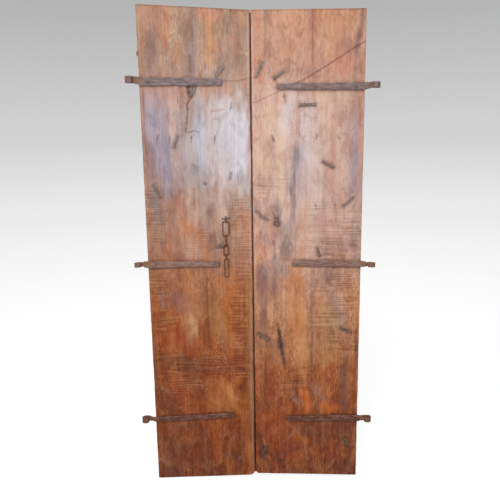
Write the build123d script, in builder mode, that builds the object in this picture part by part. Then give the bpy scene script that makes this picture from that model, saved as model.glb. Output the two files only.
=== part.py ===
"""A pair of old teak plank door leaves, seen from their plain inner side.

Each leaf is hung on three forged strap hinges with rolled eyes, nails driven from the far side have
their points bent over on this side, and a short chain latch hangs on the left leaf.
Millimetres. +X is to the viewer's right, +Y goes into the wood from the seen face, and +Z is up.
"""
import os
from math import atan2, degrees, hypot, radians, sin, tan

from build123d import *

os.makedirs("parts", exist_ok=True)

# Leaves
left_leaf_width = 439.0
right_leaf_width = 452.0
leaf_thickness = 40.0
leaf_height = 2014.0
meeting_gap = 5.0
left_outer_top_rise = 28.0
left_outer_top_flare = 6.0
left_inner_foot_rise = 14.0
right_inner_foot_rise = 21.0
right_outer_foot_rise = 9.0
left_worn_corner = 22.0
right_worn_corner = 14.0
arris_radius = 3.0

# Scarf joint across the right leaf, outer edge to meeting edge, as shares of its width and height
scarf_shares = ((0.0, 0.939), (0.533, 0.868), (1.0, 0.822))

# Damage to the wood, as shares of the leaf's width from its outer edge and of its height
crack_depth = 6.0
crack_outline_shares = (
    (0.437, 0.866), (0.515, 0.858), (0.463, 0.834), (0.426, 0.820),
    (0.403, 0.769), (0.394, 0.769), (0.409, 0.820), (0.443, 0.836),
)
gouge_depth = 4.0
gouge_width = 14.0
gouge_ends_shares = ((0.773, 0.353), (0.700, 0.265))
knot_hole_width = 13.0
knot_hole_ends_shares = ((0.165, 0.614), (0.084, 0.630))

# Strap hinges
strap_thickness = 7.0
strap_root_width = 33.7
strap_tip_width = 29.0
strap_edge_softness = 1.5
eye_bore_radius = 8.5
tallest_eye = 28.2
eye_axis_reach = 42.5
eye_seam_width = 1.6
eye_seam_depth = 3.0
left_top_strap_length = 326.0
left_middle_strap_length = 300.0
left_bottom_strap_length = 353.0
right_top_strap_length = 352.0
right_middle_strap_length = 289.0
right_bottom_strap_length = 313.0

# Each hinge, as shares: the heights on the leaf of its eye, of the strap at the leaf's edge and of its
# tip, then its root and tip over the widths above, its eye over the tallest eye and its neck over its root
hinge_shares = {
    "left_top": (0.8722, 0.8687, 0.8655, 1.00, 0.91, 1.00, 0.90),
    "left_middle": (0.4976, 0.4965, 0.4968, 0.91, 0.75, 0.65, 0.92),
    "left_bottom": (0.1482, 0.1448, 0.1540, 0.73, 0.82, 0.90, 0.76),
    "right_top": (0.8561, 0.8539, 0.8553, 0.88, 0.76, 0.91, 0.90),
    "right_middle": (0.4930, 0.4934, 0.4976, 0.80, 1.00, 0.66, 0.92),
    "right_bottom": (0.1459, 0.1445, 0.1452, 0.91, 0.82, 0.84, 0.80),
}
strap_lengths = {
    "left_top": left_top_strap_length,
    "left_middle": left_middle_strap_length,
    "left_bottom": left_bottom_strap_length,
    "right_top": right_top_strap_length,
    "right_middle": right_middle_strap_length,
    "right_bottom": right_bottom_strap_length,
}
strap_nail_shares = (0.10, 0.56, 0.92)
tip_rounding_share = 0.42

# Nails
nail_shank = 5.0
strap_nail_length = 34.0
strap_nail_head_radius = 7.0
strap_nail_head_height = 3.5
head_top_share = 0.45
stud_head_radius = 11.0
stud_head_height = 6.0
clench_width = 12.5
clench_tip_width = 9.5
clench_proud = 3.0
straight_nail_proud = 1.5
edge_nail_depth = 42.0
edge_nail_proud = 7.0
edge_nail_tall = 17.0
edge_nail_height_share = 0.923

# Clenched points, from where the nail comes through to where its tip lies, then the straight nails
left_clenched_shares = (
    ((0.693, 0.8780), (0.761, 0.8950)),
    ((0.289, 0.7412), (0.326, 0.7631)),
    ((0.096, 0.6623), (0.134, 0.6374)),
    ((0.722, 0.5360), (0.655, 0.5360)),
)
left_straight_shares = (
    (0.133, 0.758), (0.245, 0.757), (0.450, 0.758), (0.667, 0.757), (0.823, 0.816), (0.769, 0.421),
)
right_clenched_shares = (
    ((0.911, 0.9010), (0.961, 0.8735)),
    ((0.796, 0.8728), (0.711, 0.8850)),
    ((0.571, 0.8190), (0.429, 0.8203)),
    ((0.359, 0.7064), (0.261, 0.6947)),
    ((0.874, 0.3295), (0.972, 0.3435)),
    ((0.178, 0.3530), (0.071, 0.3420)),
    ((0.906, 0.0730), (0.944, 0.0550)),
    ((0.087, 0.0782), (0.122, 0.0970)),
    ((0.388, 0.5125), (0.413, 0.5300)),
)
right_straight_shares = (
    (0.417, 0.759), (0.218, 0.753), (0.425, 0.617), (0.248, 0.619),
    (0.751, 0.039), (0.312, 0.035), (0.244, 0.465),
)

# Chain latch
rod_radius = 2.75
chain_stand_off = 24.0
chain_place_shares = (0.752, 0.5915)
link_clearance = 0.3
staple_ring_radius = 12.0
staple_leg_length = 38.0
staple_leg_tip_width = 6.5
staple_leg_proud = 4.0
link_1_length = 70.0
link_1_width = 32.0
link_2_length = 53.0
link_2_width = 26.0
link_3_length = 51.0
link_3_width = 25.0
hasp_eye_width = 23.0
hasp_loop_length = 84.0
hasp_loop_width = 23.0
hasp_weld_share = 0.5

# Eye staple on the right leaf, hammered flat
flat_eye_rod_radius = 3.0
flat_eye_ring_radius = 10.5
flat_eye_place_shares = (0.786, 0.5828)
flat_eye_leg_rise = 19.0
flat_eye_leg_spread = 6.5
flat_eye_leg_start_angle = 35.0
flat_eye_lift = 0.3

# Cover strip on the hidden face of the left leaf, which laps behind the right leaf and shuts the gap
cover_strip_width = 50.0
cover_strip_thickness = 16.0
cover_strip_lap = 14.0
cover_strip_clearance = 0.5
cover_strip_foot = 4.0
cover_strip_head_drop = 2.0
cover_strip_edge = 3.0
cover_nail_length = 42.0
cover_nail_height_shares = (0.05, 0.23, 0.41, 0.59, 0.77, 0.95)

# Room for cutting tools to pass right through
overrun = 20.0

# Places worked out from the sizes above
eye_radius = eye_bore_radius + strap_thickness
pair_width = left_leaf_width + meeting_gap + right_leaf_width
outer_edge_x = pair_width / 2
eye_axis_x = outer_edge_x + eye_axis_reach
front_reach = max(
    chain_stand_off + staple_ring_radius + rod_radius,
    chain_stand_off + link_2_width / 2,
    2 * eye_radius,
)
back_reach = leaf_thickness + max(stud_head_height, cover_strip_thickness + strap_nail_head_height)
face_y = (front_reach - back_reach) / 2
hidden_y = face_y + leaf_thickness
eye_axis_y = face_y - eye_radius
face_plane = Plane.XZ.offset(-face_y)
hidden_plane = Plane.XZ.offset(-hidden_y)
strap_plane = Plane.XZ.offset(-face_y + strap_thickness)
leaf_widths = {-1: left_leaf_width, 1: right_leaf_width}


def place(side, across_share, height_share):
    """A point (x, z) on a leaf, from shares of its width, in from the outer edge, and of its height."""
    return side * (outer_edge_x - across_share * leaf_widths[side]), height_share * leaf_height


def finish(piece, name):
    """Names a finished piece and writes it out."""
    piece.part.label = name
    export_step(piece.part, f"parts/{name}.step")


def across_plane(y, point, direction_degrees):
    """A plane facing the viewer at depth y, centred on point, with its x axis turned to a direction."""
    return Plane.XZ.offset(-y) * Pos(*point) * Rot(Z=direction_degrees)


def tapered_bar(plane, root_width, tip_width, length):
    """A flat bar's outline along the plane's x axis, from just behind its root to its tip."""
    with BuildSketch(plane) as bar:
        with BuildLine():
            Polyline(
                (-root_width / 2, -root_width / 2),
                (length, -tip_width / 2),
                (length, tip_width / 2),
                (-root_width / 2, root_width / 2),
                close=True,
            )
        make_face()
    return bar.sketch


def clench(start, end):
    """Where a bent-over point starts, its direction in degrees and its length."""
    rise = end[1] - start[1]
    run = end[0] - start[0]
    return start, degrees(atan2(rise, run)), hypot(run, rise)


def hinge_heights(name):
    """The heights of a hinge's eye, of its strap where it crosses the leaf's edge, and of its tip."""
    return [share * leaf_height for share in hinge_shares[name][:3]]


def strap_nail_points(name, side):
    """The points (x, z) of a strap's nails, along its middle line."""
    _, edge_z, tip_z = hinge_heights(name)
    return [
        (side * (outer_edge_x - share * strap_lengths[name]), edge_z + share * (tip_z - edge_z))
        for share in strap_nail_shares
    ]


# Nails and staples of each leaf, as places that the pieces and the holes in the wood share
sides = {"left": -1, "right": 1}
hinge_names = {side: [name for name in hinge_shares if name.startswith(side)] for side in sides}
clenches = {
    "left": [clench(place(-1, *a), place(-1, *b)) for a, b in left_clenched_shares],
    "right": [clench(place(1, *a), place(1, *b)) for a, b in right_clenched_shares],
}
straight_points = {
    "left": [place(-1, *shares) for shares in left_straight_shares],
    "right": [place(1, *shares) for shares in right_straight_shares],
}
chain_x, chain_z = place(-1, *chain_place_shares)
chain_y = face_y - chain_stand_off
flat_eye_x, flat_eye_z = place(1, *flat_eye_place_shares)
flat_eye_y = face_y - flat_eye_rod_radius - flat_eye_lift
flat_eye_feet = [
    (flat_eye_x + sign * flat_eye_leg_spread, flat_eye_z + flat_eye_leg_rise) for sign in (-1, 1)
]
edge_nail_z = edge_nail_height_share * leaf_height
edge_nail_y = face_y + leaf_thickness / 2
left_meeting_x = left_leaf_width - outer_edge_x
right_meeting_x = outer_edge_x - right_leaf_width
cover_strip_top = leaf_height - cover_strip_head_drop
cover_strip_far_x = right_meeting_x + cover_strip_lap
cover_back_y = hidden_y + cover_strip_thickness
cover_nail_points = [
    (
        (left_meeting_x + cover_strip_far_x - cover_strip_width) / 2,
        cover_strip_foot + share * (cover_strip_top - cover_strip_foot),
    )
    for share in cover_nail_height_shares
]


def nail_holes(side_name):
    """The square holes that the nails of one leaf fill."""
    side = sides[side_name]
    with BuildPart() as holes:
        for point, direction, _ in clenches[side_name]:
            with BuildSketch(across_plane(hidden_y, point, direction)):
                Rectangle(nail_shank, nail_shank)
            extrude(amount=leaf_thickness)
        with BuildSketch(hidden_plane):
            with Locations(*straight_points[side_name]):
                Rectangle(nail_shank, nail_shank)
        extrude(amount=leaf_thickness)
        for name in hinge_names[side_name]:
            with BuildSketch(face_plane):
                with Locations(*strap_nail_points(name, side)):
                    Rectangle(nail_shank, nail_shank)
            extrude(amount=-(strap_nail_length - strap_thickness))
    return holes.part


def spindle(ends_shares, width, side):
    """The outline of a hollow with pointed ends on the seen face."""
    start, end = (place(side, *shares) for shares in ends_shares)
    middle, direction, length = clench(start, end)
    with BuildSketch(across_plane(face_y, middle, direction)) as outline:
        with BuildLine():
            ThreePointArc((0, 0), (length / 2, width / 2), (length, 0))
            ThreePointArc((length, 0), (length / 2, -width / 2), (0, 0))
        make_face()
    return outline.sketch


def leaf_body(corners, worn_corner, worn_radius):
    """A whole leaf with one worn corner and rounded arrises."""
    with BuildPart() as leaf:
        with BuildSketch(hidden_plane) as outline:
            with BuildLine():
                Polyline(*corners, close=True)
            make_face()
            fillet(outline.vertices().sort_by_distance(worn_corner)[0], worn_radius)
        extrude(amount=leaf_thickness)
        faces = leaf.faces().filter_by(Axis.Y).sort_by(Axis.Y)
        fillet(faces[0].edges() + faces[-1].edges(), arris_radius)
    return leaf.part


# The left leaf's plank
left_corners = (
    (-outer_edge_x, 0),
    (left_meeting_x, left_inner_foot_rise),
    (left_meeting_x, leaf_height),
    (-outer_edge_x - left_outer_top_flare, leaf_height + left_outer_top_rise),
)
left_leaf = leaf_body(left_corners, left_corners[1], left_worn_corner)
left_holes = nail_holes("left")
with BuildPart() as left_plank:
    add(left_leaf)
    with BuildSketch(face_plane):
        with BuildLine():
            Polyline(*[place(-1, *shares) for shares in crack_outline_shares], close=True)
        make_face()
    extrude(amount=-crack_depth, mode=Mode.SUBTRACT)
    add(left_holes, mode=Mode.SUBTRACT)
    with BuildSketch(across_plane(hidden_y, (chain_x, chain_z), 0)):
        Rectangle(2 * rod_radius, 4 * rod_radius)
    extrude(amount=leaf_thickness, mode=Mode.SUBTRACT)
    with BuildSketch(hidden_plane):
        with Locations(*cover_nail_points):
            Rectangle(nail_shank, nail_shank)
    extrude(amount=cover_nail_length - cover_strip_thickness, mode=Mode.SUBTRACT)
    with BuildSketch(Plane.YZ.offset(-outer_edge_x - left_outer_top_flare)):
        with Locations((edge_nail_y, edge_nail_z)):
            Rectangle(nail_shank, edge_nail_tall)
    extrude(amount=left_outer_top_flare + edge_nail_depth, mode=Mode.SUBTRACT)
finish(left_plank, "left_plank")

# The right leaf's plank and the piece scarfed onto its top
right_corners = (
    (right_meeting_x, right_inner_foot_rise),
    (outer_edge_x, right_outer_foot_rise),
    (outer_edge_x, leaf_height),
    (right_meeting_x, leaf_height),
)
scarf_line = [place(1, *shares) for shares in scarf_shares]
above_scarf = (
    (outer_edge_x + overrun, scarf_line[0][1] + overrun * (scarf_line[0][1] - scarf_line[1][1])
     / (scarf_line[0][0] - scarf_line[1][0])),
    scarf_line[1],
    (right_meeting_x - overrun, scarf_line[2][1] - overrun * (scarf_line[1][1] - scarf_line[2][1])
     / (scarf_line[1][0] - scarf_line[2][0])),
    (right_meeting_x - overrun, leaf_height + overrun),
    (outer_edge_x + overrun, leaf_height + overrun),
)
right_leaf = leaf_body(right_corners, right_corners[0], right_worn_corner)
right_holes = nail_holes("right")
with BuildSketch(Plane.XZ.offset(-hidden_y - overrun)) as scarf_region:
    with BuildLine():
        Polyline(*above_scarf, close=True)
    make_face()
gouge = spindle(gouge_ends_shares, gouge_width, 1)
knot_hole = spindle(knot_hole_ends_shares, knot_hole_width, 1)

with BuildPart() as right_plank:
    add(right_leaf)
    extrude(scarf_region.sketch, amount=leaf_thickness + 2 * overrun, mode=Mode.SUBTRACT)
    extrude(gouge, amount=-gouge_depth, mode=Mode.SUBTRACT)
    extrude(knot_hole, amount=-gouge_depth, mode=Mode.SUBTRACT)
    add(right_holes, mode=Mode.SUBTRACT)
    with BuildSketch(hidden_plane):
        with Locations(*flat_eye_feet):
            Rectangle(2 * flat_eye_rod_radius, 2 * flat_eye_rod_radius)
    extrude(amount=leaf_thickness, mode=Mode.SUBTRACT)
finish(right_plank, "right_plank")

with BuildPart() as right_top_piece:
    add(right_leaf)
    extrude(scarf_region.sketch, amount=leaf_thickness + 2 * overrun, mode=Mode.INTERSECT)
    add(right_holes, mode=Mode.SUBTRACT)
finish(right_top_piece, "right_top_piece")


def strap_hinge(name, side):
    """One forged strap: a flat tapered bar whose outer end is rolled into an eye."""
    root_share, tip_share, eye_share, neck_share = hinge_shares[name][3:]
    eye_z, edge_z, tip_z = hinge_heights(name)
    root_half = root_share * strap_root_width / 2
    tip_half = tip_share * strap_tip_width / 2
    eye_half = eye_share * tallest_eye / 2
    neck_half = neck_share * root_half
    neck_reach = (eye_radius + eye_axis_reach) / 2
    neck_z = (eye_z + edge_z) / 2
    inner_x = eye_axis_reach + strap_lengths[name]
    front_y = face_y - strap_thickness
    seam_y = front_y - eye_seam_width / 2
    lowest = min(eye_z, edge_z, tip_z) - tallest_eye - strap_root_width
    highest = max(eye_z, edge_z, tip_z) + tallest_eye + strap_root_width

    def at(reach, z):
        """A point (x, z) of the outline, from its reach in from the eye's axis and its height."""
        return side * (eye_axis_x - reach), z

    with BuildPart() as hinge:
        with BuildSketch(Plane.XY.offset(lowest)):
            with Locations((side * eye_axis_x, eye_axis_y)):
                Circle(eye_radius)
            with Locations((side * (eye_axis_x - inner_x / 2), face_y - strap_thickness / 2)):
                Rectangle(inner_x, strap_thickness)
            with Locations((side * eye_axis_x, eye_axis_y)):
                Circle(eye_bore_radius, mode=Mode.SUBTRACT)
            with Locations((side * (eye_axis_x - eye_radius), seam_y)):
                Rectangle(2 * eye_seam_depth, eye_seam_width, mode=Mode.SUBTRACT)
        extrude(amount=highest - lowest)
        with BuildSketch(Plane.XZ.offset(-face_y - overrun)) as outline:
            with BuildLine():
                Polyline(
                    at(-eye_radius, eye_z + eye_half),
                    at(eye_radius, eye_z + eye_half),
                    at(neck_reach, neck_z + neck_half),
                    at(eye_axis_reach, edge_z + root_half),
                    at(inner_x, tip_z + tip_half),
                    at(inner_x, tip_z - tip_half),
                    at(eye_axis_reach, edge_z - root_half),
                    at(neck_reach, neck_z - neck_half),
                    at(eye_radius, eye_z - eye_half),
                    at(-eye_radius, eye_z - eye_half),
                    close=True,
                )
            make_face()
            tip_corners = outline.vertices().sort_by_distance(at(inner_x, tip_z))[:2]
            fillet(tip_corners, 2 * tip_half * tip_rounding_share)
        extrude(amount=2 * eye_radius + 2 * overrun, mode=Mode.INTERSECT)
        front = hinge.faces().filter_by(Axis.Y).filter_by_position(Axis.Y, front_y, front_y, (True, True))
        fillet(front.edges().filter_by(Axis.Z, reverse=True), strap_edge_softness)
        with BuildSketch(face_plane):
            with Locations(*strap_nail_points(name, side)):
                Rectangle(nail_shank, nail_shank)
        extrude(amount=strap_thickness, mode=Mode.SUBTRACT)
    return hinge


def strap_nails(name, side):
    """The nails of one strap, with low hammered heads on its face."""
    with BuildPart() as nails:
        with BuildSketch(strap_plane):
            with Locations(*strap_nail_points(name, side)):
                Rectangle(nail_shank, nail_shank)
        extrude(amount=-strap_nail_length)
        for x, z in strap_nail_points(name, side):
            with Locations(Plane((x, face_y - strap_thickness, z), z_dir=(0, -1, 0))):
                Cone(
                    strap_nail_head_radius,
                    strap_nail_head_radius * head_top_share,
                    strap_nail_head_height,
                    align=(Align.CENTER, Align.CENTER, Align.MIN),
                )
    return nails


for side_name, side_sign in sides.items():
    for hinge_name in hinge_names[side_name]:
        finish(strap_hinge(hinge_name, side_sign), f"{hinge_name}_hinge")
        finish(strap_nails(hinge_name, side_sign), f"{hinge_name}_hinge_nails")


def stud_head(point):
    """Adds, to the part being built, a nail's broad head on the hidden face."""
    with Locations(Plane((point[0], hidden_y, point[1]), z_dir=(0, 1, 0))):
        Cone(
            stud_head_radius,
            stud_head_radius * head_top_share,
            stud_head_height,
            align=(Align.CENTER, Align.CENTER, Align.MIN),
        )


def clenched_nails(side_name):
    """Nails through a leaf, each with its point bent over and hammered down on the seen face."""
    with BuildPart() as nails:
        for point, direction, length in clenches[side_name]:
            with BuildSketch(across_plane(hidden_y, point, direction)):
                Rectangle(nail_shank, nail_shank)
            extrude(amount=leaf_thickness)
            point_plane = across_plane(face_y, point, direction)
            extrude(tapered_bar(point_plane, clench_width, clench_tip_width, length), amount=clench_proud)
            stud_head(point)
    return nails


def straight_nails(side_name):
    """Nails through a leaf whose points only just stand out of the seen face."""
    with BuildPart() as nails:
        for point in straight_points[side_name]:
            with BuildSketch(across_plane(hidden_y, point, 0)):
                Rectangle(nail_shank, nail_shank)
            extrude(amount=leaf_thickness + straight_nail_proud)
            stud_head(point)
    return nails


for side_name in sides:
    finish(clenched_nails(side_name), f"{side_name}_clenched_nails")
    finish(straight_nails(side_name), f"{side_name}_straight_nails")

# The stub of a flat spike in the left leaf's outer edge
with BuildPart() as left_edge_nail:
    with BuildSketch(Plane.YZ.offset(-outer_edge_x - left_outer_top_flare - edge_nail_proud)):
        with Locations((edge_nail_y, edge_nail_z)):
            Rectangle(nail_shank, edge_nail_tall)
    extrude(amount=edge_nail_proud + left_outer_top_flare + edge_nail_depth)
finish(left_edge_nail, "left_edge_nail")


# The cover strip, set back a little where it laps behind the right leaf, and its nails
with BuildPart() as cover_strip:
    with BuildSketch(Plane.XY.offset(cover_strip_foot)):
        with BuildLine():
            Polyline(
                (cover_strip_far_x - cover_strip_width, hidden_y),
                (left_meeting_x, hidden_y),
                (left_meeting_x, hidden_y + cover_strip_clearance),
                (cover_strip_far_x, hidden_y + cover_strip_clearance),
                (cover_strip_far_x, cover_back_y),
                (cover_strip_far_x - cover_strip_width, cover_back_y),
                close=True,
            )
        make_face()
    extrude(amount=cover_strip_top - cover_strip_foot)
    back_edges = cover_strip.faces().sort_by(Axis.Y)[-1].edges().filter_by(Axis.Z)
    fillet(back_edges, cover_strip_edge)
    with BuildSketch(hidden_plane):
        with Locations(*cover_nail_points):
            Rectangle(nail_shank, nail_shank)
    extrude(amount=-cover_strip_thickness, mode=Mode.SUBTRACT)
finish(cover_strip, "cover_strip")

with BuildPart() as cover_strip_nails:
    with BuildSketch(Plane.XZ.offset(-cover_back_y)):
        with Locations(*cover_nail_points):
            Rectangle(nail_shank, nail_shank)
    extrude(amount=cover_nail_length)
    for x, z in cover_nail_points:
        with Locations(Plane((x, cover_back_y, z), z_dir=(0, 1, 0))):
            Cone(
                strap_nail_head_radius,
                strap_nail_head_radius * head_top_share,
                strap_nail_head_height,
                align=(Align.CENTER, Align.CENTER, Align.MIN),
            )
finish(cover_strip_nails, "cover_strip_nails")


def flat_to_face(x, y, z):
    """A plane at a point, parallel to the leaf's face, with its y axis up."""
    return Plane((x, y, z), x_dir=(1, 0, 0), z_dir=(0, -1, 0))


def edge_on(x, y, z):
    """A plane at a point, square to the leaf's face, with its y axis up."""
    return Plane((x, y, z), x_dir=(0, 1, 0), z_dir=(1, 0, 0))


def rod_loop(upper_centre, length, width):
    """Adds, to the part being built, a long link of round rod that hangs from its upper bend's centre."""
    bend = width / 2 - rod_radius
    straight = length - width
    with Locations(upper_centre):
        Torus(bend, rod_radius, major_angle=180, align=None)
        with Locations((0, -straight)):
            Torus(bend, rod_radius, major_angle=180, rotation=(0, 0, 180), align=None)
        with Locations((bend, -straight / 2), (-bend, -straight / 2)):
            Cylinder(rod_radius, straight, rotation=(90, 0, 0))


def hang(carrier_rod_z, width):
    """The height of a link's upper bend centre, when the bend hangs over a rod at the given height."""
    return carrier_rod_z + 2 * rod_radius + link_clearance + rod_radius - width / 2


def lowest_rod(upper_centre_z, length, width):
    """The height of the rod's middle at the bottom of a link."""
    return upper_centre_z + width / 2 - length + rod_radius


# The eye staple of the chain: a ring on a split leg, its two ends clenched on the hidden face
with BuildPart() as chain_staple:
    with Locations(edge_on(chain_x, chain_y, chain_z)):
        Torus(staple_ring_radius, rod_radius)
    with BuildSketch(across_plane(hidden_y, (chain_x, chain_z), 0)):
        Rectangle(2 * rod_radius, 4 * rod_radius)
    extrude(amount=hidden_y - chain_y - staple_ring_radius)
    for leg_direction in (90, -90):
        leg_plane = across_plane(hidden_y, (chain_x, chain_z), leg_direction)
        extrude(
            tapered_bar(leg_plane, 2 * rod_radius, staple_leg_tip_width, staple_leg_length),
            amount=-staple_leg_proud,
        )
finish(chain_staple, "chain_staple")

# The chain: flat and edge-on links in turn, then the end loop with its small eye
link_1_z = hang(chain_z - staple_ring_radius, link_1_width)
link_2_z = hang(lowest_rod(link_1_z, link_1_length, link_1_width), link_2_width)
link_3_z = hang(lowest_rod(link_2_z, link_2_length, link_2_width), link_3_width)
hasp_eye_z = hang(lowest_rod(link_3_z, link_3_length, link_3_width), hasp_eye_width)
hasp_eye_bend = hasp_eye_width / 2 - rod_radius
hasp_weld_drop = 2 * rod_radius * hasp_weld_share
hasp_loop_z = hasp_eye_z - hasp_eye_bend - hasp_weld_drop + rod_radius - hasp_loop_width / 2

with BuildPart() as chain_link_1:
    rod_loop(flat_to_face(chain_x, chain_y, link_1_z), link_1_length, link_1_width)
finish(chain_link_1, "chain_link_1")

with BuildPart() as chain_link_2:
    rod_loop(edge_on(chain_x, chain_y, link_2_z), link_2_length, link_2_width)
finish(chain_link_2, "chain_link_2")

with BuildPart() as chain_link_3:
    rod_loop(flat_to_face(chain_x, chain_y, link_3_z), link_3_length, link_3_width)
finish(chain_link_3, "chain_link_3")

with BuildPart() as chain_hasp:
    with Locations(edge_on(chain_x, chain_y, hasp_eye_z)):
        Torus(hasp_eye_bend, rod_radius)
    rod_loop(flat_to_face(chain_x, chain_y, hasp_loop_z), hasp_loop_length, hasp_loop_width)
finish(chain_hasp, "chain_hasp")

# The right leaf's eye staple: a ring hammered flat, its two legs crossing above it and driven in
flat_eye_leg_drop = flat_eye_ring_radius * sin(radians(flat_eye_leg_start_angle))
flat_eye_leg_start = flat_eye_leg_drop / tan(radians(flat_eye_leg_start_angle))
with BuildPart() as right_eye_staple:
    with Locations(flat_to_face(flat_eye_x, flat_eye_y, flat_eye_z)):
        Torus(flat_eye_ring_radius, flat_eye_rod_radius)
    for sign, foot in zip((1, -1), flat_eye_feet):
        leg_start_z = flat_eye_z + flat_eye_leg_drop
        leg_start = Vector(flat_eye_x + sign * flat_eye_leg_start, flat_eye_y, leg_start_z)
        leg_end = Vector(foot[0], flat_eye_y, foot[1])
        leg_line = leg_end - leg_start
        with Locations(Plane(leg_start, z_dir=leg_line)):
            Cylinder(flat_eye_rod_radius, leg_line.length, align=(Align.CENTER, Align.CENTER, Align.MIN))
    with BuildSketch(hidden_plane):
        with Locations(*flat_eye_feet):
            Rectangle(2 * flat_eye_rod_radius, 2 * flat_eye_rod_radius)
    extrude(amount=hidden_y - flat_eye_y + flat_eye_rod_radius)
finish(right_eye_staple, "right_eye_staple")

# Places of the eyes and of the chain's pivots
print("face_y", face_y, "hidden_y", hidden_y, "eye axis", eye_axis_x, eye_axis_y)
for hinge_name in hinge_shares:
    print(hinge_name, "eye height", hinge_heights(hinge_name)[0])
print("chain", chain_x, chain_y, "staple rod", chain_z - staple_ring_radius)
print("link 2 upper rod", link_2_z + link_2_width / 2 - rod_radius)
print("link 2 lower rod", lowest_rod(link_2_z, link_2_length, link_2_width))
print("hasp eye's upper rod", hasp_eye_z + hasp_eye_bend)
print("hasp loop from", hasp_loop_z, "to", hasp_loop_z + hasp_loop_width - hasp_loop_length)
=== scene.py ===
"""Dresses a pair of old teak door leaves: weathered planks, forged strap hinges, nails and a chain.

Metres. +X is to the viewer's right, +Y goes into the wood from the seen face, and +Z is up.
Places on a leaf are shares: across from its outer edge to its meeting edge, and up its height.
"""
from math import pi, radians

import bpy
import numpy as np
from mathutils import Matrix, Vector
from mathutils.bvhtree import BVHTree


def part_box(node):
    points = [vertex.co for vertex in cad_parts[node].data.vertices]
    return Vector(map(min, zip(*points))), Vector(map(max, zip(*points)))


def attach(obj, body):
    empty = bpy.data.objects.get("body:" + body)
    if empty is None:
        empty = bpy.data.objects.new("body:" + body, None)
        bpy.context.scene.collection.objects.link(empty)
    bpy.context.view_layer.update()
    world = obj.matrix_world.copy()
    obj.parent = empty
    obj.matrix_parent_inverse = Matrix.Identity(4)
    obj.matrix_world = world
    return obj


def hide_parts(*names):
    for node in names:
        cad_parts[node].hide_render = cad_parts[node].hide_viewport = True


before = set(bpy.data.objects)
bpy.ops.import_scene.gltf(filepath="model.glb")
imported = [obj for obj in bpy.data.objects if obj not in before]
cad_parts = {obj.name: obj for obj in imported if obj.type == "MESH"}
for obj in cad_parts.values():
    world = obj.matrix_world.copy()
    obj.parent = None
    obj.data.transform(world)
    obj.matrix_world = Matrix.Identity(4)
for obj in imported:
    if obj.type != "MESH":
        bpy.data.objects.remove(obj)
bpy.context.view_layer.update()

# Where the leaves are
left_low, left_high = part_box("left_plank")
right_low, right_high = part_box("right_plank")
face_y = left_low.y
hidden_y = left_high.y
leaf_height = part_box("right_top_piece")[1].z
outer_edge = {"left": -right_high.x, "right": right_high.x}
meeting_edge = {"left": left_high.x, "right": right_low.x}
left_top_flare = outer_edge["left"] - left_low.x
scarf_knee_share = (0.533, 0.868)
worn_corner = {"left": 0.022, "right": 0.014}
hair = 0.0001

# Boards
seen_pitch = 0.0032
hidden_pitch = 0.014
edge_pitch = 0.0012
edge_band = 0.006
arris = 0.0026
scarf_arris = 0.0012
chip_reach = 0.014
chip_depth = 0.0013
hollow_depth = 0.0011
# Grime with painted shadow round the iron: how far it reaches, its share above the iron (less, as the
# painted shadow falls below), and the iron it gathers round
grime_and_shadow_reach = 0.012
grime_and_shadow_share_above = 0.7
iron_with_grime_and_shadow = ("hinge", "clenched_nails", "staple", "edge_nail")
scarf_band = 0.02

# Cells of the unevenness of a board, across and up
chip_cells = (0.31, 0.035)
small_chip_cells = (0.2, 0.012)
arris_cells = (0.08, 0.06)
dip_cells = (0.045, 0.26)
small_dip_cells = (0.012, 0.09)
torn_cells = (0.006, 0.011)
dark_cells = (0.007, 0.012)

# How brushes and saw marks stray from their paths: fine and coarse cells, and how far
stray_cells_across = ((0.011, 0.06), (0.030, 0.11))
stray_cells_up = ((0.012, 0.05), (0.035, 0.10))
brush_stray_share = 0.28
saw_mark_stray = 0.02

# Finishes of the iron and the cover strip: voxel, unevenness, size of its lumps, rounds of smoothing
strap_finish = (0.0016, 0.0022, 0.026, 3)
nail_finish = (0.0009, 0.0009, 0.006, 2)
clench_finish = (0.0009, 0.0010, 0.006, 2)
chain_finish = (0.0008, 0.0007, 0.009, 2)
strip_finish = (0.0030, 0.0014, 0.05, 2)
specular_level = 0.25

# Camera
camera_back = 2.5591
camera_place = (0.0113, face_y - camera_back, 1.5912)
camera_pitch = radians(11.765)
camera_yaw = radians(0.672)
camera_roll = radians(-0.753)
camera_lens = 44.75
camera_sensor = 36
camera_reach = 200

# Colours of the staining and wear on the wood, and of a painted sheen on its upper part, as sRGB levels
tints = {
    # This first colour serves for soot, dark marks and hollows, and for the painted shadow line under the
    # iron
    "soot_and_shadow": (46, 32, 28),
    "umber": (92, 46, 26),
    "russet": (142, 62, 24),
    "amber": (182, 102, 40),
    "flame": (204, 108, 44),
    "rose": (186, 124, 102),
    "plum": (118, 84, 82),
    "honey": (202, 138, 84),
    "olive": (158, 116, 72),
    "straw": (216, 182, 144),
    # This pink colour is partly a bloom on the wood and partly painted sheen
    "blush_and_painted_sheen": (204, 180, 170),
    "mauve": (166, 144, 148),
    "smoke": (122, 114, 116),
    "slate": (124, 122, 138),
    # These last three colours are painted sheen: a pale veil of reflected light over the upper wood
    "painted_sheen_lilac": (146, 140, 158),
    "painted_sheen_azure": (156, 172, 190),
    "painted_sheen_milk": (208, 212, 224),
}

# Brushes for them: their reach across and up
brushes = {
    "hair": (0.0045, 0.008),
    "line": (0.008, 0.014),
    "streak": (0.014, 0.08),
    "blot": (0.028, 0.040),
    "band": (0.032, 0.110),
    "patch": (0.055, 0.090),
    "wash": (0.120, 0.200),
}
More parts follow.
